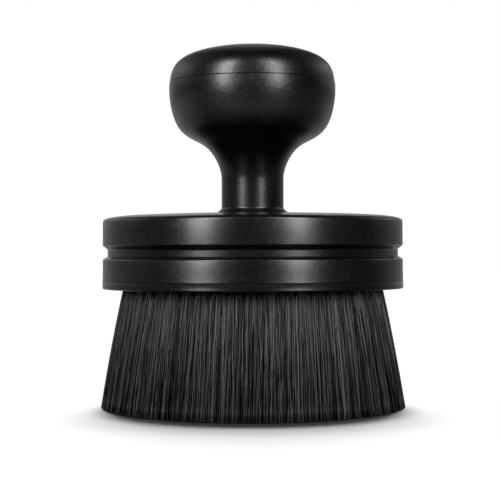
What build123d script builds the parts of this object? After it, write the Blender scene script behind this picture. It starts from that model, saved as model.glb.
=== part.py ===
from build123d import *
import os
from math import atan2, cos, degrees, hypot, radians, sin

os.makedirs("parts", exist_ok=True)

# Neck duster brush: a round brush head under a palm knob.
# Millimetres, +Z up.  The origin is the middle of the flat trimmed bristle
# field, which is the face that the brush stands on.

# ---------------------------------------------------------------- head, heights
face_z = 33.50            # underside of the tuft block, where the bristles leave it
flange_z = 35.77          # top of the block's rim, underside of the base ring
shoulder_z = 42.70        # top of the base ring, where it meets the groove wall
groove_top_z = 44.72      # top of the groove wall
lip_z = 45.68             # lower edge of the top cover's band
band_top_z = 52.31        # upper edge of the top cover's band
seat_z = 54.80            # flat middle of the cover, where the handle stands
block_top_z = 41.60       # top of the tuft block, under the cover's bosses
ledge_z = 38.54           # ledge inside the base ring, under the spigot

# ---------------------------------------------------------------- head, radii
head_d = 85.0             # over the two bands
head_r = head_d / 2
band_draft = 0.03         # mould draft of the upper band, over its height
ring_draft = 0.10         # mould draft of the base ring
groove_r = 41.12          # bottom of the groove
spigot_r = 40.30          # cover's spigot, inside the base ring
bore_r = 38.60            # cover's bore
rim_r = 42.66             # block's rim, a little proud of the bands
rim_sink = 0.05           # the rim's outer face is very slightly hollow
block_r = 38.35           # block's body
fit = 0.05                # radial clearance of moulded fits

# ---------------------------------------------------------------- bristles
tuft_r = 1.50             # a tuft where it leaves its hole
hole_r = 1.55
hole_depth = 6.20
tuft_root = 6.00          # how far a tuft goes into its hole
outer_trim_r = 43.40      # edge of the bristle field at the trimmed face
tuft_rings = [            # pitch radius at the face, number of places
    (4.95, 8),
    (9.35, 14),
    (13.75, 20),
    (18.15, 26),
    (22.55, 32),
    (26.95, 40),
    (31.35, 46),
    (35.75, 52),
]
screw_ring = 5            # ring whose places at 45, 135, 225, 315 degrees hold screws
splay = 230.8             # the tufts fan out from a point this far above the face
anchor_w, anchor_t, anchor_h = 3.04, 0.40, 1.40   # flat wire anchors
anchor_depth = 5.50       # lower edge of an anchor, measured into the hole

# ---------------------------------------------------------------- block screws
screw_shank_r = 1.45
screw_clear_r = 1.65
screw_head_r = 2.75
screw_len = 14.0
screw_recess = 0.40       # head below the face
boss_r = 3.80
boss_hole_r = 1.50
boss_hole_top = 50.40

# ---------------------------------------------------------------- handle joint
key_af = 11.0             # hexagonal key under the handle, across flats
key_depth = 2.30
key_gap = 0.10
hub_r = 11.0              # thick hub in the middle of the cover
hub_z = 49.20             # underside of the hub
bolt_r = 2.45             # M5
bolt_clear_r = 2.75
bolt_len = 16.0
bolt_head_af = 8.0
bolt_head_h = 3.50
washer_r, washer_h = 5.00, 1.00
spring_washer_r, spring_washer_h = 4.40, 1.30
insert_r = 3.98
insert_pocket_r = 4.03
insert_z0, insert_z1 = 53.20, 65.00
insert_bore_r = 2.50

# ---------------------------------------------------------------- handle
foot_r = 10.45
neck_r = 8.82
parting_z = 92.05         # cap meets bowl
bowl_top_r = 23.54
cap_edge_r = 23.43
skirt_r = 21.85           # cap's skirt, inside the bowl
skirt_t = 1.60
skirt_z = 88.20
rebate_z = 88.10
edge_break = 0.12         # small chamfers that make the parting line
neck_bore_r = 5.20
neck_floor_z = 68.00

# outside of the bowl and neck, from the top of the straight neck to the rim
bowl_pts = [
    (neck_r, 64.60),
    (9.15, 67.02),
    (9.96, 69.29),
    (11.27, 71.57),
    (13.42, 73.88),
    (17.56, 76.21),
    (20.39, 78.42),
    (21.80, 80.66),
    (22.63, 82.90),
    (23.16, 85.13),
    (23.513, 87.40),
    (23.652, 89.67),
    (bowl_top_r, parting_z),
]
# inside of the bowl, from the neck's bore to the rebate
bowl_in_pts = [
    (neck_bore_r, 68.90),
    (6.60, 70.40),
    (9.60, 73.90),
    (13.40, 76.90),
    (17.10, 78.90),
    (19.30, 81.60),
    (20.60, 85.00),
    (21.10, rebate_z),
]
# outside of the cap, from its crown to its edge
cap_pts = [
    (0.00, 102.55),
    (8.55, 102.00),
    (11.96, 101.50),
    (14.81, 100.86),
    (17.15, 100.12),
    (19.05, 99.27),
    (20.51, 98.32),
    (21.65, 97.23),
    (22.48, 95.98),
    (23.06, 94.45),
    (cap_edge_r, parting_z),
]
cap_wall = 2.40
# outside of the cover's roof, from its flat middle to the top edge's fillet
roof_pts = [
    (12.0, seat_z),
    (20.0, 54.68),
    (27.0, 54.49),
    (33.0, 54.27),
    (36.0, 54.12),
    (38.5, 53.90),
    (40.4, 53.60),
    (41.4, 53.35),
    (42.0, 53.10),
]


def tuft_places(ring):
    """Locations of one ring's tufts, with +Z running out of the hole and down the tuft."""
    r, n = tuft_rings[ring]
    lean = atan2(r, splay)
    places = []
    for i in range(n):
        a = 2 * 3.141592653589793 * i / n
        deg = 360.0 * i / n
        if ring == screw_ring and min(abs(deg - s) for s in (45, 135, 225, 315)) < 0.01:
            continue
        out = Vector(cos(a) * sin(lean), sin(a) * sin(lean), -cos(lean))
        along = Vector(-sin(a), cos(a), 0)
        places.append(Plane(origin=(r * cos(a), r * sin(a), face_z), x_dir=along, z_dir=out).location)
    return places


def tuft_end_radius(ring):
    """A tuft's radius at the trimmed face: as wide as its neighbours leave room for."""
    r, n = tuft_rings[ring]
    grow = (splay + face_z) / splay
    around = 3.141592653589793 * r * grow / n
    return min(around, 4.4 * grow / 2) - 0.12


centre_place = [Plane(origin=(0, 0, face_z), x_dir=(0, 1, 0), z_dir=(0, 0, -1)).location]
screw_places = [
    Plane(
        origin=(tuft_rings[screw_ring][0] * cos(radians(a)), tuft_rings[screw_ring][0] * sin(radians(a)), face_z),
        x_dir=(0, 1, 0),
        z_dir=(0, 0, -1),
    ).location
    for a in (45, 135, 225, 315)
]

# ================================================================ knob cap
with BuildPart() as knob_cap:
    with BuildSketch(Plane.XZ):
        with BuildLine():
            dome = Spline(*cap_pts, tangents=[(1, 0), (0.07, -1)], tangent_scalars=[1, 1])
            Polyline(
                (cap_edge_r, parting_z),
                (skirt_r, parting_z),
                (skirt_r, skirt_z + 0.4),
                (skirt_r - 0.4, skirt_z),
                (skirt_r - skirt_t, skirt_z),
                (skirt_r - skirt_t, parting_z + 0.6),
            )
            Spline(
                (skirt_r - skirt_t, parting_z + 0.6),
                (20.00, 94.80),
                (18.40, 97.20),
                (14.00, 98.85),
                (8.00, 99.75),
                (0.00, 100.15),
                tangents=[(0, 1), (-1, 0)],
            )
            Line((0.00, 100.15), (0.00, 102.55))
        make_face()
    revolve(axis=Axis.Z)
    # stiffening cross under the crown
    with BuildSketch(Plane.XY.offset(96.0)):
        Rectangle(28.0, 1.5)
        Rectangle(1.5, 28.0)
    extrude(amount=4.6)
    chamfer(
        knob_cap.edges().filter_by(GeomType.CIRCLE).filter_by(
            lambda e: abs(e.radius - cap_edge_r) < 0.001 and abs(e.center().Z - parting_z) < 0.001
        ),
        length=edge_break,
    )
knob_cap.part.label = "knob_cap"
export_step(knob_cap.part, "parts/knob_cap.step")

# ================================================================ handle: bowl, neck and foot in one moulding
with BuildPart() as handle_shell:
    with BuildSketch(Plane.XZ):
        with BuildLine():
            Polyline(
                (insert_pocket_r, seat_z),
                (foot_r, seat_z),
                (foot_r, seat_z + 0.12),
                (9.14, 55.86),
            )
            Spline(
                (9.14, 55.86),
                (8.89, 56.13),
                (neck_r, 56.42),
                tangents=[(-1.31, 0.94), (0, 1)],
            )
            Line((neck_r, 56.42), (neck_r, 64.60))
            Spline(*bowl_pts, tangents=[(0, 1), (-0.105, 1)], tangent_scalars=[1, 1])
            Polyline(
                (bowl_top_r, parting_z),
                (skirt_r + fit, parting_z),
                (skirt_r + fit, rebate_z),
                bowl_in_pts[-1],
            )
            Spline(*reversed(bowl_in_pts), tangents=[(-0.06, -1), (0, -1)])
            Polyline(
                bowl_in_pts[0],
                (neck_bore_r, neck_floor_z),
                (0, neck_floor_z),
                (0, insert_z1 + 0.2),
                (insert_pocket_r, insert_z1 + 0.2),
                (insert_pocket_r, seat_z),
            )
        make_face()
    revolve(axis=Axis.Z)
    # hexagonal key that stops the handle turning on the cover
    with BuildSketch(Plane.XY.offset(seat_z - key_depth)):
        RegularPolygon(key_af / 2, 6, major_radius=False)
        Circle(insert_pocket_r, mode=Mode.SUBTRACT)
    extrude(amount=key_depth)
    # gussets from the neck's bore up the inside of the bowl
    for a in (0, 60, 120, 180, 240, 300):
        with BuildSketch(Plane.XZ.rotated((0, 0, a))):
            with BuildLine():
                Polyline(
                    (neck_bore_r + 0.3, 68.4),
                    (7.60, 70.35),
                    (10.60, 73.60),
                    (14.40, 76.35),
                    (17.90, 78.35),
                    (19.60, 80.40),
                    (19.60, 81.60),
                    (13.00, 81.60),
                    (neck_bore_r + 0.3, 74.5),
                    close=True,
                )
            make_face()
        extrude(amount=0.7, both=True)
    chamfer(
        handle_shell.edges().filter_by(GeomType.CIRCLE).filter_by(
            lambda e: abs(e.radius - bowl_top_r) < 0.001 and abs(e.center().Z - parting_z) < 0.001
        ),
        length=edge_break,
    )
handle_shell.part.label = "handle_shell"
export_step(handle_shell.part, "parts/handle_shell.step")

# ================================================================ brass insert in the neck
with BuildPart() as threaded_insert:
    with BuildSketch(Plane.XZ):
        with BuildLine():
            Polyline(
                (insert_bore_r + 0.35, insert_z0),
                (insert_r - 0.25, insert_z0),
                (insert_r, insert_z0 + 0.35),
                (insert_r, insert_z0 + 4.6),
                (insert_r - 0.45, insert_z0 + 5.1),
                (insert_r - 0.45, insert_z0 + 6.7),
                (insert_r, insert_z0 + 7.2),
                (insert_r, insert_z1 - 0.35),
                (insert_r - 0.30, insert_z1),
                (insert_bore_r + 0.35, insert_z1),
                (insert_bore_r, insert_z1 - 0.35),
                (insert_bore_r, insert_z0 + 0.35),
                close=True,
            )
        make_face()
    revolve(axis=Axis.Z)
    # knurl: straight flutes round both bands
    with PolarLocations(insert_r + 0.08, 24):
        Box(0.32, 0.34, 2 * insert_z1, mode=Mode.SUBTRACT)
threaded_insert.part.label = "threaded_insert"
export_step(threaded_insert.part, "parts/threaded_insert.step")

# ================================================================ bolt and washers, under the cover's hub
with BuildPart() as flat_washer:
    with BuildSketch(Plane.XY.offset(hub_z - washer_h)):
        Circle(washer_r)
        Circle(bolt_clear_r - 0.10, mode=Mode.SUBTRACT)
    extrude(amount=washer_h)
    chamfer(flat_washer.faces().sort_by(Axis.Z)[0].edges().sort_by(SortBy.LENGTH)[-1], length=0.15)
flat_washer.part.label = "flat_washer"
export_step(flat_washer.part, "parts/flat_washer.step")

with BuildPart() as spring_washer:
    with BuildSketch(Plane.XY.offset(hub_z - washer_h - spring_washer_h)):
        Circle(spring_washer_r)
        Circle(bolt_clear_r - 0.15, mode=Mode.SUBTRACT)
    extrude(amount=spring_washer_h)
    # the split, cut at a slant as on a coiled spring washer
    with BuildSketch(Plane.XZ.offset(0)):
        with BuildLine():
            zc = hub_z - washer_h - spring_washer_h / 2
            Polyline(
                (-0.80, zc - 1.0),
                (-0.30, zc - 1.0),
                (0.80, zc + 1.0),
                (0.30, zc + 1.0),
                close=True,
            )
        make_face()
    extrude(amount=-6.0, mode=Mode.SUBTRACT)
spring_washer.part.label = "spring_washer"
export_step(spring_washer.part, "parts/spring_washer.step")

bolt_seat_z = hub_z - washer_h - spring_washer_h
with BuildPart() as handle_bolt:
    with BuildSketch(Plane.XY.offset(bolt_seat_z - bolt_head_h)):
        RegularPolygon(bolt_head_af / 2, 6, major_radius=False)
    extrude(amount=bolt_head_h)
    # the head's corners are turned off in a 30 degree cone
    with BuildSketch(Plane.XZ):
        with BuildLine():
            Polyline(
                (0, bolt_seat_z - bolt_head_h),
                (bolt_head_af / 2 - 0.2, bolt_seat_z - bolt_head_h),
                (bolt_head_af / 2 + 0.9, bolt_seat_z - bolt_head_h + 0.62),
                (bolt_head_af / 2 + 0.9, bolt_seat_z),
                (0, bolt_seat_z),
                close=True,
            )
        make_face()
    revolve(axis=Axis.Z, mode=Mode.INTERSECT)
    with BuildSketch(Plane.XY.offset(bolt_seat_z)):
        Circle(bolt_r)
    extrude(amount=bolt_len)
    chamfer(handle_bolt.faces().sort_by(Axis.Z)[-1].edges(), length=0.5)
handle_bolt.part.label = "handle_bolt"
export_step(handle_bolt.part, "parts/handle_bolt.step")

# ================================================================ top cover: roof, upper band, groove wall and spigot
with BuildPart() as top_cover:
    with BuildSketch(Plane.XZ):
        with BuildLine():
            Line((0, seat_z), (12.0, seat_z))
            Spline(*roof_pts, tangents=[(1, 0), (1, -0.52)])
            Spline(
                roof_pts[-1],
                (42.35, 52.76),
                (head_r - band_draft, band_top_z),
                tangents=[(1, -0.52), (0, -1)],
            )
            Polyline(
                (head_r - band_draft, band_top_z),
                (head_r, lip_z + 0.18),
                (head_r - 0.05, lip_z + 0.05),
                (head_r - 0.18, lip_z - 0.08),
                (groove_r + 0.19, groove_top_z + 0.03),
            )
            Spline(
                (groove_r + 0.19, groove_top_z + 0.03),
                (groove_r + 0.04, groove_top_z - 0.14),
                (groove_r, groove_top_z - 0.40),
                tangents=[(-1, -0.75), (0, -1)],
            )
            Polyline(
                (groove_r, groove_top_z - 0.40),
                (groove_r, shoulder_z),
                (spigot_r, shoulder_z),
                (spigot_r, shoulder_z - 3.76),
                (spigot_r - 0.3, shoulder_z - 4.06),
                (bore_r, shoulder_z - 4.06),
                (bore_r, 50.40),
            )
            Spline(
                (bore_r, 50.40),
                (36.60, 51.70),
                (24.00, 52.45),
                (0, 52.80),
                tangents=[(0, 1), (-1, 0)],
            )
            Line((0, 52.80), (0, seat_z))
        make_face()
    revolve(axis=Axis.Z)
    # hub
    with BuildSketch(Plane.XY.offset(hub_z)):
        Circle(hub_r)
    extrude(amount=54.0 - hub_z)
    # ribs from the hub to the wall, half of them through the screw bosses
    with BuildSketch(Plane.XY.offset(48.60)):
        with PolarLocations(0, 8):
            with Locations(((hub_r - 2.5 + bore_r + 1.4) / 2, 0)):
                Rectangle(bore_r + 1.4 - (hub_r - 2.5), 1.6)
    extrude(amount=54.0 - 48.60 - 0.6)
    with BuildSketch(Plane.XY.offset(48.60)):
        Circle(hub_r - 2.0)
    extrude(amount=hub_z - 48.60, mode=Mode.SUBTRACT)
    # screw bosses, standing on the block's top
    with BuildSketch(Plane.XY.offset(block_top_z)):
        with PolarLocations(tuft_rings[screw_ring][0], 4, start_angle=45):
            Circle(boss_r)
    extrude(amount=53.0 - block_top_z)
    with BuildSketch(Plane.XY.offset(block_top_z)):
        with PolarLocations(tuft_rings[screw_ring][0], 4, start_angle=45):
            Circle(boss_hole_r)
    extrude(amount=boss_hole_top - block_top_z, mode=Mode.SUBTRACT)
    # pocket for the handle's key, and the bolt's hole
    with BuildSketch(Plane.XY.offset(seat_z - key_depth - key_gap)):
        RegularPolygon(key_af / 2 + key_gap, 6, major_radius=False)
    extrude(amount=key_depth + key_gap, mode=Mode.SUBTRACT)
    with BuildSketch(Plane.XY.offset(hub_z)):
        Circle(bolt_clear_r)
    extrude(amount=8.0, mode=Mode.SUBTRACT)
top_cover.part.label = "top_cover"
export_step(top_cover.part, "parts/top_cover.step")

# ================================================================ base ring: the lower band
with BuildPart() as base_ring:
    with BuildSketch(Plane.XZ):
        with BuildLine():
            Polyline(
                (spigot_r + fit, shoulder_z),
                (groove_r - 0.04, shoulder_z),
                (head_r - 0.24, 41.96),
            )
            ThreePointArc(
                (head_r - 0.24, 41.96),
                (head_r - 0.064, 41.78),
                (head_r, 41.54),
            )
            Polyline(
                (head_r, 41.54),
                (head_r + ring_draft, flange_z + edge_break),
                (head_r + ring_draft - edge_break, flange_z),
                (block_r + fit + 0.02, flange_z),
                (block_r + fit + 0.02, ledge_z),
                (spigot_r + fit, ledge_z),
                (spigot_r + fit, shoulder_z),
            )
        make_face()
    revolve(axis=Axis.Z)
base_ring.part.label = "base_ring"
export_step(base_ring.part, "parts/base_ring.step")

# ================================================================ tuft block, with its visible rim
with BuildPart() as tuft_block:
    with BuildSketch(Plane.XZ):
        with BuildLine():
            Line((0, face_z), (rim_r - 0.45, face_z))
            ThreePointArc(
                (rim_r - 0.45, face_z),
                (rim_r - 0.13, face_z + 0.13),
                (rim_r, face_z + 0.45),
            )
            ThreePointArc(
                (rim_r, face_z + 0.45),
                (rim_r - rim_sink, (face_z + 0.45 + flange_z - 0.12) / 2),
                (rim_r, flange_z - 0.12),
            )
            Polyline(
                (rim_r, flange_z - 0.12),
                (rim_r - 0.12, flange_z),
                (block_r, flange_z),
                (block_r, block_top_z - 0.4),
                (block_r - 0.4, block_top_z),
                (0, block_top_z),
                (0, face_z),
            )
        make_face()
    revolve(axis=Axis.Z)
    # blind tuft holes, leaning out with the tufts
    for ring in range(len(tuft_rings)):
        with Locations(*[p * Location((0, 0, 0.6)) for p in tuft_places(ring)]):
            Hole(hole_r, depth=hole_depth + 0.6)
    with Locations(*centre_place):
        Hole(hole_r, depth=hole_depth)
    # countersunk screw holes
    with Locations(*[p * Location((0, 0, 0)) for p in screw_places]):
        CounterSinkHole(screw_clear_r, screw_head_r + 0.10, depth=8.1, counter_sink_angle=90)
tuft_block.part.label = "tuft_block"
export_step(tuft_block.part, "parts/tuft_block.step")

# ================================================================ screws that hold the block to the cover
with BuildPart() as block_screws:
    with Locations(*screw_places):
        with Locations((0, 0, -screw_recess)):
            Cylinder(screw_shank_r, screw_len, align=(Align.CENTER, Align.CENTER, Align.MAX))
            Cone(
                screw_shank_r,
                screw_head_r - screw_recess,
                screw_head_r - screw_recess - screw_shank_r,
                align=(Align.CENTER, Align.CENTER, Align.MAX),
            )
            # cross recess
            Box(3.0, 0.6, 1.0, align=(Align.CENTER, Align.CENTER, Align.MAX), mode=Mode.SUBTRACT)
            Box(0.6, 3.0, 1.0, align=(Align.CENTER, Align.CENTER, Align.MAX), mode=Mode.SUBTRACT)
block_screws.part.label = "block_screws"
export_step(block_screws.part, "parts/block_screws.step")

# ================================================================ tufts, ring by ring
with BuildPart() as bristles_centre:
    with Locations(*centre_place):
        Cylinder(tuft_r, tuft_root, align=(Align.CENTER, Align.CENTER, Align.MAX))
        Cone(tuft_r, 2.30, face_z, align=(Align.CENTER, Align.CENTER, Align.MIN))
        with Locations((0, 0, -anchor_depth + anchor_h / 2)):
            Box(4.0, anchor_t + 0.04, anchor_h + 0.04, mode=Mode.SUBTRACT)
bristles_centre.part.label = "bristles_centre"
export_step(bristles_centre.part, "parts/bristles_centre.step")

for ring in range(len(tuft_rings)):
    with BuildPart() as bristles_ring:
        with Locations(*tuft_places(ring)):
            Cylinder(tuft_r, tuft_root, align=(Align.CENTER, Align.CENTER, Align.MAX))
            Cone(tuft_r, tuft_end_radius(ring), face_z * 1.06, align=(Align.CENTER, Align.CENTER, Align.MIN))
        # the fold of each tuft holds its anchor
        with Locations(*[p * Location((0, 0, -anchor_depth + anchor_h / 2)) for p in tuft_places(ring)]):
            Box(4.0, anchor_t + 0.04, anchor_h + 0.04, mode=Mode.SUBTRACT)
        # trimmed flat
        split(bisect_by=Plane.XY, keep=Keep.TOP)
    bristles_ring.part.label = f"bristles_ring_{ring + 1}"
    export_step(bristles_ring.part, f"parts/bristles_ring_{ring + 1}.step")

# ================================================================ flat wire anchors, one across the fold of each tuft
with BuildPart() as tuft_anchors:
    for ring in range(len(tuft_rings)):
        with Locations(*[p * Location((0, 0, -anchor_depth + anchor_h / 2)) for p in tuft_places(ring)]):
            Box(anchor_w, anchor_t, anchor_h)
    with Locations(*[p * Location((0, 0, -anchor_depth + anchor_h / 2)) for p in centre_place]):
        Box(anchor_w, anchor_t, anchor_h)
tuft_anchors.part.label = "tuft_anchors"
export_step(tuft_anchors.part, "parts/tuft_anchors.step")
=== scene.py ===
import bpy
import math
import numpy as np
from mathutils import Matrix, Vector


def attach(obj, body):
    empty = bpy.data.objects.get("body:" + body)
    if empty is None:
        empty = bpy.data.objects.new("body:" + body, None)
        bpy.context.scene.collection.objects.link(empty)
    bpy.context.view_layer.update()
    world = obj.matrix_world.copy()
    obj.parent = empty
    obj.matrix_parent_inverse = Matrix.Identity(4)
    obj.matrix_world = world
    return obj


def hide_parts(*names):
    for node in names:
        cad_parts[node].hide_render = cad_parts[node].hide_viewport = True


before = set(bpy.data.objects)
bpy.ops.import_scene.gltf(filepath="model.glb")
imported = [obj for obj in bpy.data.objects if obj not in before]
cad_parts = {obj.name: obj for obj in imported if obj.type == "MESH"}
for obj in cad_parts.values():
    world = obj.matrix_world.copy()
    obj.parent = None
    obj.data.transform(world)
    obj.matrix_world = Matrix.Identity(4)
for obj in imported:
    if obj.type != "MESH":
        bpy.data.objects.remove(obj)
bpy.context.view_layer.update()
scene = bpy.context.scene
MM = 0.001
SKY_FRONT, SKY_BACK = 0.012, 0.21     # the dim studio fill that dull surfaces and the floor see
DARK = 0.015                          # the room in front, as reflections see it
TABLE = 0.54                          # how bright reflections see the table

# --------------------------------------------------------------------------- camera
# Level view, at the height of the groove in the head.
cam_data = bpy.data.cameras.new("camera")
cam = bpy.data.objects.new("camera", cam_data)
scene.collection.objects.link(cam)
cam_data.sensor_width = 36.0
cam_data.lens = 104.4
cam_data.clip_start = 0.01
cam_data.clip_end = 20.0
cam.location = (-0.785 * MM, -413.0 * MM, 44.4 * MM)
# a fifth of a degree of roll, as hand held
cam.rotation_euler = (Matrix.Rotation(math.radians(90.0), 3, "X") @ Matrix.Rotation(math.radians(-0.18), 3, "Z")).to_euler()
scene.camera = cam

scene.view_settings.view_transform = "Standard"
scene.view_settings.look = "None"
scene.view_settings.exposure = 0.0
scene.view_settings.gamma = 1.0


# --------------------------------------------------------------------------- node helpers
def new_material(name):
    m = bpy.data.materials.new(name)
    m.use_nodes = True
    nt = m.node_tree
    nt.nodes.clear()
    out = nt.nodes.new("ShaderNodeOutputMaterial")
    bsdf = nt.nodes.new("ShaderNodeBsdfPrincipled")
    nt.links.new(bsdf.outputs["BSDF"], out.inputs["Surface"])
    return m, nt, bsdf


def noise(nt, vector, scale, detail=2.0, rough=0.5, distortion=0.0):
    n = nt.nodes.new("ShaderNodeTexNoise")
    n.inputs["Scale"].default_value = scale
    n.inputs["Detail"].default_value = detail
    n.inputs["Roughness"].default_value = rough
    n.inputs["Distortion"].default_value = distortion
    nt.links.new(vector, n.inputs["Vector"])
    return n.outputs["Fac"]


def ramp(nt, fac, stops):
    r = nt.nodes.new("ShaderNodeValToRGB")
    while len(r.color_ramp.elements) < len(stops):
        r.color_ramp.elements.new(0.5)
    for e, (p, c) in zip(r.color_ramp.elements, stops):
        e.position = p
        e.color = (c, c, c, 1.0) if isinstance(c, (int, float)) else (*c, 1.0)
    nt.links.new(fac, r.inputs["Fac"])
    return r.outputs["Color"]


def maths(nt, op, a, b=None, clamp=False):
    n = nt.nodes.new("ShaderNodeMath")
    n.operation = op
    n.use_clamp = clamp
    for i, v in enumerate((a, b)):
        if v is None:
            continue
        if isinstance(v, (int, float)):
            n.inputs[i].default_value = v
        else:
            nt.links.new(v, n.inputs[i])
    return n.outputs[0]


def map_range(nt, value, a, b, c, d):
    n = nt.nodes.new("ShaderNodeMapRange")
    n.clamp = True
    nt.links.new(value, n.inputs["Value"])
    for k, v in zip(("From Min", "From Max", "To Min", "To Max"), (a, b, c, d)):
        n.inputs[k].default_value = v
    return n.outputs["Result"]


def object_coords(nt, scale=(1, 1, 1)):
    tc = nt.nodes.new("ShaderNodeTexCoord")
    mp = nt.nodes.new("ShaderNodeMapping")
    mp.inputs["Scale"].default_value = scale
    nt.links.new(tc.outputs["Object"], mp.inputs["Vector"])
    return mp.outputs["Vector"]


def bump(nt, height, distance, strength=1.0, normal=None):
    b = nt.nodes.new("ShaderNodeBump")
    b.inputs["Distance"].default_value = distance
    b.inputs["Strength"].default_value = strength
    nt.links.new(height, b.inputs["Height"])
    if normal is not None:
        nt.links.new(normal, b.inputs["Normal"])
    return b.outputs["Normal"]


# --------------------------------------------------------------------------- materials
def crown(nt, low, high, terms):
    """Height of a band's slight crown. terms are the tilt at its lower edge, and the linear and
    cubic rise of the tilt to its upper edge, in degrees."""
    tc = nt.nodes.new("ShaderNodeTexCoord")
    sp = nt.nodes.new("ShaderNodeSeparateXYZ")
    nt.links.new(tc.outputs["Object"], sp.inputs[0])
    t = map_range(nt, sp.outputs["Z"], low * MM, high * MM, 0.0, 1.0)
    a, b, c = terms
    h = maths(nt, "MULTIPLY", t, a)
    h = maths(nt, "ADD", h, maths(nt, "MULTIPLY", maths(nt, "POWER", t, 2.0), b / 2))
    h = maths(nt, "ADD", h, maths(nt, "MULTIPLY", maths(nt, "POWER", t, 4.0), c / 4))
    return maths(nt, "MULTIPLY", h, -(high - low) * MM * math.pi / 180)


def flat(nt, inner, outer, tilt):
    """Height that lays a sloping rim zone flatter, up to tilt degrees at its outer edge."""
    tc = nt.nodes.new("ShaderNodeTexCoord")
    sp = nt.nodes.new("ShaderNodeSeparateXYZ")
    nt.links.new(tc.outputs["Object"], sp.inputs[0])
    r = maths(nt, "SQRT", maths(nt, "ADD", maths(nt, "POWER", sp.outputs["X"], 2.0), maths(nt, "POWER", sp.outputs["Y"], 2.0)))
    t = map_range(nt, r, inner * MM, outer * MM, 0.0, 1.0)
    return maths(nt, "MULTIPLY", maths(nt, "POWER", t, 2.0), (outer - inner) * MM * math.radians(tilt) / 2)


def moulded_plastic(name, tone, rough, grain, seed, speck, bands=(), zone=None, shine=((0.0, 0.5), (110.0, 0.5))):
    """Satin black moulded plastic: a fine spark-eroded grain and slightly uneven gloss. shine
    lists the specular level against height in millimetres; where it dips, that is painted shade on the gloss."""
    m, nt, bsdf = new_material(name)
    v = object_coords(nt)
    shifted = nt.nodes.new("ShaderNodeVectorMath")
    shifted.operation = "ADD"
    shifted.inputs[1].default_value = (seed * 0.37, seed * 0.21, seed * 0.13)
    nt.links.new(v, shifted.inputs[0])
    v = shifted.outputs[0]
    fine = noise(nt, v, 2300.0, 2.0, 0.6)
    mottle = noise(nt, v, 1000.0, 3.0, 0.6)
    cloud = noise(nt, v, 70.0, 3.0, 0.5)
    colour = ramp(nt, cloud, [(0.3, tuple(c * 0.86 for c in tone)), (0.7, tuple(c * 1.14 for c in tone))])
    nt.links.new(colour, bsdf.inputs["Base Color"])
    uneven = maths(nt, "ADD", maths(nt, "MULTIPLY", mottle, 0.45), maths(nt, "MULTIPLY", cloud, 0.55))
    nt.links.new(map_range(nt, uneven, 0.32, 0.68, rough - 0.045, rough + 0.045), bsdf.inputs["Roughness"])
    sp = nt.nodes.new("ShaderNodeSeparateXYZ")
    nt.links.new(object_coords(nt), sp.inputs[0])
    # dips in the specular level against height are painted shade on the gloss
    level = ramp(nt, map_range(nt, sp.outputs["Z"], 0.0, 0.11, 0.0, 1.0), [(z / 110.0, k) for z, k in shine])
    patchy = maths(nt, "ADD", maths(nt, "MULTIPLY", fine, 0.6), maths(nt, "MULTIPLY", mottle, 0.4))
    nt.links.new(maths(nt, "MULTIPLY", level, map_range(nt, patchy, 0.2, 0.8, 1 - 0.6 * speck, 1 + 0.6 * speck)), bsdf.inputs["Specular IOR Level"])
    height = maths(nt, "ADD", maths(nt, "MULTIPLY", fine, 0.55), maths(nt, "MULTIPLY", mottle, 0.45))
    under = bump(nt, flat(nt, *zone), 1.0) if zone else None
    for b in bands:
        h = crown(nt, *b)
        under = bump(nt, h, 1.0, normal=under) if under is not None else bump(nt, h, 1.0)
    nt.links.new(bump(nt, height, grain, normal=under), bsdf.inputs["Normal"])
    return m


def filament_material():
    """Black nylon filament: a soft gloss along each filament, with tones that differ a little
    from one to the next and rougher cut tips. Painted shade darkens the colour and gloss just under
    the rim and towards the lower ends, and painted light brightens the very tips."""
    m, nt, bsdf = new_material("black_nylon_filament")
    at = nt.nodes.new("ShaderNodeAttribute")
    at.attribute_type = "GEOMETRY"
    at.attribute_name = "tone"
    sep = nt.nodes.new("ShaderNodeSeparateColor")
    nt.links.new(at.outputs["Color"], sep.inputs["Color"])
    tone, along = sep.outputs[0], sep.outputs[1]
    v = object_coords(nt, (1.0, 1.0, 0.25))
    streak = noise(nt, v, 2600.0, 2.0, 0.5)
    mixed = maths(nt, "ADD", maths(nt, "MULTIPLY", tone, 0.80), maths(nt, "MULTIPLY", streak, 0.20))
    colour = ramp(nt, mixed, [(0.0, (0.0004, 0.0004, 0.0005)), (0.35, (0.0035, 0.0035, 0.0037)), (0.65, (0.020, 0.0202, 0.0208)), (1.0, (0.085, 0.0855, 0.087))])
    # painted shade and light along each filament: colour and gloss are darkened just under the rim and towards the
    # lower ends, and brightened at the very tips
    painted_shading = ramp(nt, along, [(0.02, 0.40), (0.09, 0.90), (0.5, 0.76), (0.86, 0.50), (0.93, 0.66), (1.0, 1.5)])
    dull = nt.nodes.new("ShaderNodeVectorMath")
    dull.operation = "SCALE"
    nt.links.new(colour, dull.inputs[0])
    nt.links.new(painted_shading, dull.inputs["Scale"])
    nt.links.new(dull.outputs[0], bsdf.inputs["Base Color"])
    rough = map_range(nt, mixed, 0.0, 1.0, 0.50, 0.34)
    tip = map_range(nt, along, 0.985, 1.0, 0.0, 0.3)
    nt.links.new(maths(nt, "ADD", rough, tip, clamp=True), bsdf.inputs["Roughness"])
    shine = map_range(nt, mixed, 0.08, 0.95, 0.05, 0.95)
    # the gloss carries the same painted shade and light
    nt.links.new(maths(nt, "MULTIPLY", shine, painted_shading), bsdf.inputs["Specular IOR Level"])
    return m


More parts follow.
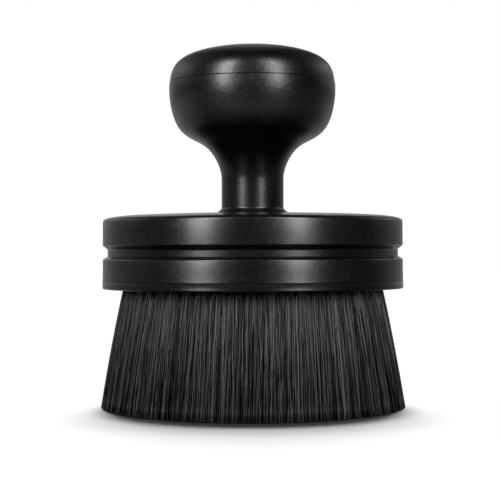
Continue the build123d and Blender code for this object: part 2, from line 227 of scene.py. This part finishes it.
def metal(name, colour, rough, streak_scale, seed):
    m, nt, bsdf = new_material(name)
    v = object_coords(nt, (1.0, 1.0, streak_scale))
    n = noise(nt, v, 2200.0, 3.0, 0.6)
    c = noise(nt, v, 240.0 + seed, 2.0, 0.5)
    nt.links.new(ramp(nt, c, [(0.3, tuple(x * 0.85 for x in colour)), (0.7, colour)]), bsdf.inputs["Base Color"])
    nt.links.new(map_range(nt, n, 0.3, 0.7, rough - 0.06, rough + 0.10), bsdf.inputs["Roughness"])
    bsdf.inputs["Metallic"].default_value = 1.0
    nt.links.new(bump(nt, n, 0.00001), bsdf.inputs["Normal"])
    return m


mats = {
    "knob_cap": moulded_plastic("knob_cap_plastic", (0.0010, 0.0010, 0.0010), 0.32, 0.000034, 1.0, 0.9),
    # the handle's gloss is dimmed from 67 to 80 mm, under the bowl: painted shade of the bowl's overhang
    "handle_shell": moulded_plastic("handle_plastic", (0.0009, 0.0009, 0.0010), 0.32, 0.000034, 2.0, 0.9, shine=((62.0, 0.48), (67.0, 0.26), (74.0, 0.20), (80.0, 0.32), (84.0, 0.5))),
    # the cover's gloss is dimmed on the groove wall and far more under the lip: painted shade of the lip's overhang
    "top_cover": moulded_plastic("top_cover_plastic", (0.0009, 0.0009, 0.0010), 0.295, 0.000017, 3.0, 0.7, [(45.86, 52.31, (0.5, 2.5, 4.0)), (42.7, 44.3, (2.0, 0.0, 0.0))], (37.0, 41.3, 10.5), ((42.5, 0.5), (42.8, 0.42), (44.4, 0.42), (44.7, 0.10), (45.6, 0.10), (45.9, 0.5))),
    "base_ring": moulded_plastic("base_ring_plastic", (0.0009, 0.0009, 0.0010), 0.295, 0.000017, 4.0, 0.7, [(35.9, 41.54, (2.6, -3.2, 6.0))]),
    "tuft_block": moulded_plastic("tuft_block_plastic", (0.0009, 0.0009, 0.0010), 0.29, 0.000010, 5.0, 0.4, shine=((0.0, 0.36), (110.0, 0.36))),
    "threaded_insert": metal("insert_brass", (0.72, 0.52, 0.22), 0.28, 1.0, 11.0),
    "handle_bolt": metal("bolt_zinc", (0.62, 0.64, 0.66), 0.30, 0.3, 23.0),
    "flat_washer": metal("washer_zinc", (0.60, 0.62, 0.64), 0.33, 1.0, 31.0),
    "spring_washer": metal("spring_steel", (0.45, 0.46, 0.48), 0.30, 1.0, 47.0),
    "block_screws": metal("screw_zinc", (0.60, 0.62, 0.64), 0.30, 0.3, 53.0),
    "tuft_anchors": metal("anchor_wire", (0.58, 0.59, 0.60), 0.35, 0.3, 67.0),
}
filament = filament_material()
for node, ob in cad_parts.items():
    mat = mats.get(node, filament)
    ob.data.materials.clear()
    ob.data.materials.append(mat)

# --------------------------------------------------------------------------- bristles
# The tuft circles, as in the CAD: pitch radius and places at the block's face. Every tuft is
# drawn as loose filaments that leave its hole, spread at once and mix with their neighbours'.
face_z = 33.50
splay = 230.8
tuft_r = 1.50
rings = [(0.0, 1), (4.95, 8), (9.35, 14), (13.75, 20), (18.15, 26), (22.55, 32), (26.95, 40), (31.35, 46), (35.75, 52)]
node_of = ["bristles_centre"] + ["bristles_ring_%d" % i for i in range(1, 9)]
screw_angles = (45.0, 135.0, 225.0, 315.0)
per_tuft = [110, 110, 110, 110, 110, 110, 130, 160, 180]
thick = 0.112            # a filament's radius, mm
edge_top, edge_rise, edge_sag = 36.72, 7.35, 1.05   # the field's outline, from the face to the trim
FINE = (-0.9, 0.4, 1.4, 3.4, 6.0, 8.8, 11.6, 14.4, 17.2, 20.0, 22.8, 25.6, 28.4, 31.0, 33.5)
PLAIN = (-0.9, 2.0, 8.0, 15.0, 22.0, 28.5, 33.5)
limit = 200000


def tuft_angles(i):
    r, n = rings[i]
    out = []
    for k in range(n):
        a = 360.0 * k / n
        if i == 6 and min(abs(a - s) for s in screw_angles) < 0.01:
            continue
        out.append(math.radians(a))
    return out


def disc(rng, m):
    q, w = np.sqrt(rng.random(m)), rng.random(m) * 2 * np.pi
    return np.stack([q * np.cos(w), q * np.sin(w)], axis=1)


def even(rng, m, dims):
    """m evenly spread points in the unit cube, starting from a place of their own."""
    g = 1.5
    for _ in range(40):
        g = (1 + g) ** (1.0 / (dims + 1))
    step = (1.0 / g) ** np.arange(1, dims + 1)
    return (rng.random(dims) + np.arange(m)[:, None] * step) % 1.0


def filaments(i, rng):
    """Centre lines (filament, stop, xyz), tones and radii of one circle of tufts."""
    r, n = rings[i]
    stops = np.array(FINE if i >= 7 else PLAIN)
    f = np.clip(stops / face_z, 0.0, 1.0)
    grow = (splay + stops) / splay
    # a tuft's share of the field: its pitch around, and the ring spacing across
    around = (math.pi * r / n if i else 2.2) * grow
    across = 2.2 * grow
    # filaments leave the hole as one round bundle and spread into that share almost at once
    opened = 1 - np.exp(-f / 0.012)
    lines, tones, radii = [], [], []
    for a in tuft_angles(i):
        m = per_tuft[i]
        u = disc(rng, m) * (tuft_r - thick)
        spread = even(rng, m, 4)
        v = spread[:, :2] * 2.0 - 1.0
        off = np.empty((m, len(stops), 2))
        off[..., 0] = u[:, :1] * (1 - opened) + v[:, :1] * across * opened
        off[..., 1] = u[:, 1:] * (1 - opened) + v[:, 1:] * around * opened
        # single filaments wander into their neighbours' share on the way down
        off += 1.3 * disc(rng, m)[:, None, :] * f[None, :, None]
        # crimp: shallow waves
        for amp, wave in ((0.13, 27.0), (0.065, 14.0), (0.035, 8.5)):
            ph = rng.random((m, 1)) * 2 * np.pi
            dr = rng.random((m, 1)) * 2 * np.pi
            am = np.abs(rng.normal(amp, amp * 0.5, (m, 1)))
            w = am * np.sin(2 * np.pi * stops[None, :] / wave + ph) * np.clip(stops[None, :] / 6.0, 0, 1)
            off[..., 0] += w * np.cos(dr)
            off[..., 1] += w * np.sin(dr)
        e1 = np.array([math.cos(a), math.sin(a), 0.0])
        e2 = np.array([-math.sin(a), math.cos(a), 0.0])
        rad_at = r * (splay + stops) / splay
        axis = rad_at[None, :, None] * e1[None, None, :]
        line = axis + off[..., :1] * e1 + off[..., 1:] * e2
        # in front on the right the ends are combed a little to the left, so they hang straighter
        bear, far = np.arctan2(line[..., 0], -line[..., 1]), np.hypot(line[..., 0], line[..., 1])
        bear = bear - 0.036 * f[None, :] * np.exp(-(((bear - 0.46) / 0.42) ** 2))
        line[..., 0], line[..., 1] = far * np.sin(bear), -far * np.cos(bear)
        line[..., 2] = face_z - stops[None, :]
        # the outside of the field is a clean cone: nothing goes past its outline
        out = np.hypot(line[..., 0], line[..., 1])
        fit = edge_top + edge_rise * f - edge_sag * f * f
        soft = fit[None, :] - 0.30 * spread[:, 2:3] ** 2
        over = np.maximum(out - soft, 0.0)
        k = 1 - over / np.maximum(out, 1e-6)
        line[..., 0] *= k
        line[..., 1] *= k
        lines.append(line)
        tones.append((spread[:, 3] ** 1.15).clip(0.01, 0.99))
        radii.append(thick * rng.uniform(0.82, 1.18, m))
    return np.concatenate(lines), np.concatenate(tones), np.concatenate(radii)


def build(name, lines, tones, radii, rng, body="root"):
    """One mesh of closed three-sided filaments, trimmed level at the floor."""
    m, rows = lines.shape[:2]
    way = np.empty_like(lines)
    way[:, 1:-1] = lines[:, 2:] - lines[:, :-2]
    way[:, 0] = lines[:, 1] - lines[:, 0]
    way[:, -1] = lines[:, -1] - lines[:, -2]
    way /= np.linalg.norm(way, axis=2, keepdims=True)
    spin = rng.random(m) * 2 * np.pi
    side = np.stack([np.cos(spin), np.sin(spin), np.zeros(m)], axis=1)[:, None, :]
    side = side - way * (side * way).sum(axis=2, keepdims=True)
    side /= np.linalg.norm(side, axis=2, keepdims=True)
    other = np.cross(way, side)
    reach = np.hypot(lines[:, -1, 0], lines[:, -1, 1])
    trim = np.abs(rng.normal(0, 0.07, m)).clip(0, 0.25) + 0.22 * np.clip((reach - 39.5) / 3.5, 0, 1) ** 2
    co = np.empty((m, rows, 3, 3))
    for k in range(3):
        ang = k * 2 * np.pi / 3
        co[:, :, k] = lines + (math.cos(ang) * side + math.sin(ang) * other) * radii[:, None, None]
    co[:, -1, :, 2] = trim[:, None]
    verts = (co.reshape(-1, 3) * MM).astype(np.float32)
    base = (np.arange(m) * rows * 3)[:, None]
    quads = []
    for s in range(rows - 1):
        for k in range(3):
            k2 = (k + 1) % 3
            quads.append([s * 3 + k, s * 3 + k2, (s + 1) * 3 + k2, (s + 1) * 3 + k])
    quads = (base[:, :, None] + np.array(quads)[None]).reshape(m, -1, 4)
    caps = (base[:, :, None] + np.array([[0, 2, 1], [rows * 3 - 3, rows * 3 - 2, rows * 3 - 1]])[None]).reshape(m, -1, 3)
    nq, nc = quads.shape[1], caps.shape[1]
    loops = np.concatenate([quads.reshape(m, -1), caps.reshape(m, -1)], axis=1).reshape(-1).astype(np.int32)
    sizes = np.tile(np.array([4] * nq + [3] * nc, np.int32), m)
    starts = np.concatenate([[0], np.cumsum(sizes)[:-1]]).astype(np.int32)
    me = bpy.data.meshes.new(name)
    me.vertices.add(len(verts))
    me.vertices.foreach_set("co", verts.ravel())
    me.loops.add(len(loops))
    me.loops.foreach_set("vertex_index", loops)
    me.polygons.add(len(sizes))
    me.polygons.foreach_set("loop_start", starts)
    me.polygons.foreach_set("loop_total", sizes)
    smooth = np.tile(np.array([True] * nq + [False] * nc), m)
    me.polygons.foreach_set("use_smooth", smooth)
    tone = me.attributes.new("tone", "FLOAT_COLOR", "POINT")
    col = np.ones((m, rows, 3, 4), np.float32)
    col[..., 0] = tones[:, None, None]
    col[..., 1] = np.linspace(0, 1, rows)[None, :, None]
    col[..., 2] = 0.5
    tone.data.foreach_set("color", col.ravel())
    # one small cell of the map for each filament
    n = int(math.ceil(math.sqrt(m)))
    cell = 1.0 / n
    cx = (np.arange(m) % n) * cell
    cy = (np.arange(m) // n) * cell
    uvv = np.empty((m, rows, 4, 2), np.float32)
    for s in range(rows):
        for k in range(4):
            uvv[:, s, k, 0] = cx + cell * (0.14 + 0.72 * k / 3)
            uvv[:, s, k, 1] = cy + cell * (0.14 + 0.72 * s / (rows - 1))
    luv = []
    for s in range(rows - 1):
        for k in range(3):
            luv += [(s, k), (s, k + 1), (s + 1, k + 1), (s + 1, k)]
    luv += [(0, 0), (0, 2), (0, 1), (rows - 1, 0), (rows - 1, 1), (rows - 1, 2)]
    si = np.array([p[0] for p in luv])
    ki = np.array([p[1] for p in luv])
    uv = uvv[:, si, ki].reshape(-1, 2)
    layer = me.uv_layers.new(name="OFBake")
    layer.data.foreach_set("uv", uv.ravel())
    me.update(calc_edges=True)
    me.validate(verbose=False)
    me.materials.append(filament)
    ob = bpy.data.objects.new(name, me)
    scene.collection.objects.link(ob)
    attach(ob, body)
    return ob


strands = []
for i, node in enumerate(node_of):
    rng = np.random.default_rng(1000 + i)
    lines, tones, radii = filaments(i, rng)
    tris = (lines.shape[1] - 1) * 6 + 2
    parts = int(math.ceil(len(lines) * tris / (limit * 0.98)))
    cuts = np.linspace(0, len(lines), parts + 1).astype(int)
    for p in range(parts):
        sl = slice(cuts[p], cuts[p + 1])
        name = "filaments_%d" % i + ("" if parts == 1 else "abcdefgh"[p])
        strands.append(build(name, lines[sl], tones[sl], radii[sl], rng))
        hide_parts(node)

# --------------------------------------------------------------------------- floor
bpy.ops.mesh.primitive_plane_add(size=6.0, location=(0, 0, 0))
floor = bpy.context.object
floor.name = "floor"
floor_mat, nt, bsdf = new_material("floor_paper")
v = object_coords(nt)
nt.links.new(ramp(nt, noise(nt, v, 3.0, 2.0), [(0.3, 0.86), (0.7, 0.88)]), bsdf.inputs["Base Color"])
bsdf.inputs["Roughness"].default_value = 0.9
bsdf.inputs["Specular IOR Level"].default_value = 0.0
# reflections see the lit table only, and the dark room past its front edge
geo = nt.nodes.new("ShaderNodeNewGeometry")
gs = nt.nodes.new("ShaderNodeSeparateXYZ")
nt.links.new(geo.outputs["Position"], gs.inputs[0])
path = nt.nodes.new("ShaderNodeLightPath")
past = map_range(nt, gs.outputs["Y"], -0.34, -0.22, 1.0, 0.0)
dark = nt.nodes.new("ShaderNodeEmission")
dark.inputs["Strength"].default_value = DARK
mix = nt.nodes.new("ShaderNodeMixShader")
reach = maths(nt, "SQRT", maths(nt, "ADD", maths(nt, "POWER", gs.outputs["X"], 2.0), maths(nt, "POWER", gs.outputs["Y"], 2.0)))
# as reflections see it, the paper is painted darker close to the object: painted shade that only reflections see
near_shade = map_range(nt, reach, 0.085, 0.17, 0.08, 1.0)
bearing = maths(nt, "ARCTAN2", gs.outputs["X"], maths(nt, "MULTIPLY", gs.outputs["Y"], -1.0))
near_shade = maths(nt, "MAXIMUM", near_shade, map_range(nt, maths(nt, "ABSOLUTE", bearing), 1.2, 1.6, 0.0, 1.0))
# round from the back (0) by the left (0.25), the front (0.5) and the right (0.75)
# painted shade of the paper in reflections, in two bands round to the left and right
side_shade = ramp(
    nt,
    map_range(nt, bearing, -math.pi, math.pi, 0.0, 1.0),
    [(0.0, 1.0), (0.22, 1.0), (0.28, 0.45), (0.35, 0.45), (0.40, 1.0), (0.60, 1.0),
     (0.65, 0.40), (0.72, 0.28), (0.79, 0.28), (0.85, 0.80), (0.91, 1.0), (1.0, 1.0)],
)
lit_share = maths(nt, "MULTIPLY", maths(nt, "MULTIPLY", near_shade, side_shade), map_range(nt, past, 0.0, 1.0, TABLE, 0.0))
unlit = maths(nt, "SUBTRACT", 1.0, lit_share)
nt.links.new(maths(nt, "MULTIPLY", unlit, path.outputs["Is Glossy Ray"]), mix.inputs[0])
nt.links.new(bsdf.outputs["BSDF"], mix.inputs[1])
nt.links.new(dark.outputs[0], mix.inputs[2])
out = next(n for n in nt.nodes if n.type == "OUTPUT_MATERIAL")
nt.links.new(mix.outputs[0], out.inputs["Surface"])
floor.data.materials.append(floor_mat)

# --------------------------------------------------------------------------- light
# A white studio: bright behind and above, dim in front, where the camera stands. Reflections
# see a dark front wall, so the black plastic stays black between the two softboxes.
world = bpy.data.worlds.new("studio")
scene.world = world
world.use_nodes = True
wt = world.node_tree
wt.nodes.clear()
wout = wt.nodes.new("ShaderNodeOutputWorld")
tc = wt.nodes.new("ShaderNodeTexCoord")
sepw = wt.nodes.new("ShaderNodeSeparateXYZ")
wt.links.new(tc.outputs["Generated"], sepw.inputs[0])
lp = wt.nodes.new("ShaderNodeLightPath")


def backdrop(strength):
    bg = wt.nodes.new("ShaderNodeBackground")
    bg.inputs["Color"].default_value = (1.0, 1.0, 1.0, 1.0)
    if isinstance(strength, (int, float)):
        bg.inputs["Strength"].default_value = strength
    else:
        wt.links.new(strength, bg.inputs["Strength"])
    return bg.outputs[0]


def pick(fac, a, b):
    mx = wt.nodes.new("ShaderNodeMixShader")
    wt.links.new(fac, mx.inputs[0])
    wt.links.new(a, mx.inputs[1])
    wt.links.new(b, mx.inputs[2])
    return mx.outputs[0]


soft = backdrop(map_range(wt, sepw.outputs["Y"], -0.2, 0.3, SKY_FRONT, SKY_BACK))
# what reflections see, round the room from the back (0 and 1) by the left (0.25) and the
# front (0.5) to the right (0.75)
turn = maths(wt, "ARCTAN2", sepw.outputs["X"], maths(wt, "MULTIPLY", sepw.outputs["Y"], -1.0))
walls = ramp(
    wt,
    map_range(wt, turn, -math.pi, math.pi, 0.0, 1.0),
    [(0.0, 1.0), (0.045, 0.62), (0.10, 0.40), (0.126, 0.28), (0.163, 0.13), (0.20, 0.08), (0.25, 0.09), (0.33, 0.04),
     (0.5, DARK), (0.76, 0.015), (0.805, 0.02), (0.84, 0.11), (0.875, 0.20), (0.955, 0.50), (1.0, 1.0)],
)
# the walls are lit low down, and the ceiling is dark
rise = ramp(wt, sepw.outputs["Z"], [(0.0, 0.64), (0.03, 0.72), (0.05, 0.95), (0.09, 1.0), (0.20, 0.85), (0.30, 0.45), (0.40, 0.12), (0.50, 0.04)])
# high side walls, left and right
upper = ramp(
    wt,
    map_range(wt, turn, -math.pi, math.pi, 0.0, 1.0),
    [(0.0, 0.0), (0.06, 0.10), (0.10, 0.36), (0.153, 0.75), (0.19, 0.80), (0.22, 0.60), (0.26, 0.0), (0.5, 0.0),
     (0.765, 0.0), (0.80, 0.70), (0.83, 0.90), (0.89, 0.85), (0.92, 0.25), (0.95, 0.03), (1.0, 0.0)],
)
height = ramp(
    wt,
    sepw.outputs["Z"],
    [(0.06, 0.0), (0.10, 0.18), (0.21, 0.36), (0.33, 1.0), (0.42, 0.90), (0.52, 0.50), (0.61, 0.20), (0.75, 0.10), (0.88, 0.0)],
)
# what is left of the light above them, behind and to the left
behind = ramp(
    wt,
    map_range(wt, turn, -math.pi, math.pi, 0.0, 1.0),
    [(0.0, 1.0), (0.034, 0.40), (0.055, 0.20), (0.08, 0.25), (0.12, 0.60), (0.23, 0.60), (0.27, 0.0), (0.5, 0.0),
     (0.95, 0.05), (0.966, 0.10), (0.985, 0.50), (1.0, 1.0)],
)
top = ramp(wt, sepw.outputs["Z"], [(0.15, 0.0), (0.30, 0.60), (0.40, 0.42), (0.55, 0.27), (0.76, 0.19), (0.95, 0.05)])
gloss = maths(wt, "ADD", maths(wt, "MULTIPLY", walls, rise), maths(wt, "MULTIPLY", upper, height))
gloss = backdrop(maths(wt, "ADD", gloss, maths(wt, "MULTIPLY", behind, top)))
lit = pick(lp.outputs["Is Glossy Ray"], soft, gloss)
wt.links.new(pick(lp.outputs["Is Camera Ray"], lit, backdrop(1.0)), wout.inputs["Surface"])
world.cycles.sampling_method = "NONE"


def softbox(name, azimuth, elevation, distance, size, radiance, target=(0, 0, 0.06)):
    """A soft rectangular lamp. Azimuth 0 is in front of the object, +90 on its right."""
    a, e = math.radians(azimuth), math.radians(elevation)
    d = Vector((math.sin(a) * math.cos(e), -math.cos(a) * math.cos(e), math.sin(e)))
    data = bpy.data.lights.new(name, "AREA")
    data.shape = "RECTANGLE"
    data.size, data.size_y = size
    data.energy = radiance * math.pi * size[0] * size[1]
    ob = bpy.data.objects.new(name, data)
    ob.location = Vector(target) + d * distance
    ob.rotation_euler = (-d).to_track_quat("-Z", "Y").to_euler()
    ob.visible_camera = False
    scene.collection.objects.link(ob)
    ob.light_linking.receiver_collection = off_floor
    return ob


# the two softboxes light the object and not the paper under it
off_floor = bpy.data.collections.new("softboxes_skip")
off_floor.objects.link(floor)
off_floor.collection_objects[0].light_linking.link_state = "EXCLUDE"


softbox("softbox_left", -38.5, 25.8, 0.9, (0.22, 0.74), 16.6)
softbox("softbox_left_top", -41.0, 54.0, 0.9, (0.18, 0.19), 3.2)
softbox("softbox_right", 33.5, 26.4, 0.9, (0.22, 0.76), 14.6)
softbox("softbox_right_top", 33.5, 55.0, 0.9, (0.18, 0.19), 4.2)

# a weak one far round to the right keeps that edge of the bristles from going dark
only_strands = bpy.data.collections.new("side_lamp_lights")
for ob in strands:
    only_strands.objects.link(ob)
for item in only_strands.collection_objects:
    item.light_linking.link_state = "INCLUDE"
side_lamp = softbox("softbox_side", 74.0, 18.0, 0.9, (0.30, 0.60), 4.5)
side_lamp.light_linking.receiver_collection = only_strands

# the paper has its own light from above and behind, which puts the short shadow in front
only_floor = bpy.data.collections.new("overheads_light")
only_floor.objects.link(floor)
only_floor.collection_objects[0].light_linking.link_state = "INCLUDE"


def overhead(name, elevation, angle, share):
    """A far round lamp behind the object. share is the part of the paper's white it gives."""
    e = math.radians(elevation)
    data = bpy.data.lights.new(name, "SUN")
    data.angle = math.radians(angle)
    data.energy = share * math.pi / math.sin(e)
    ob = bpy.data.objects.new(name, data)
    d = Vector((0.0, math.cos(e), math.sin(e)))
    ob.location = d * 1.5
    ob.rotation_euler = (-d).to_track_quat("-Z", "Y").to_euler()
    scene.collection.objects.link(ob)
    ob.light_linking.receiver_collection = only_floor
    return ob


overhead("overhead_back", 62.0, 20.0, 0.51)
overhead("overhead_top", 78.0, 10.0, 0.56)
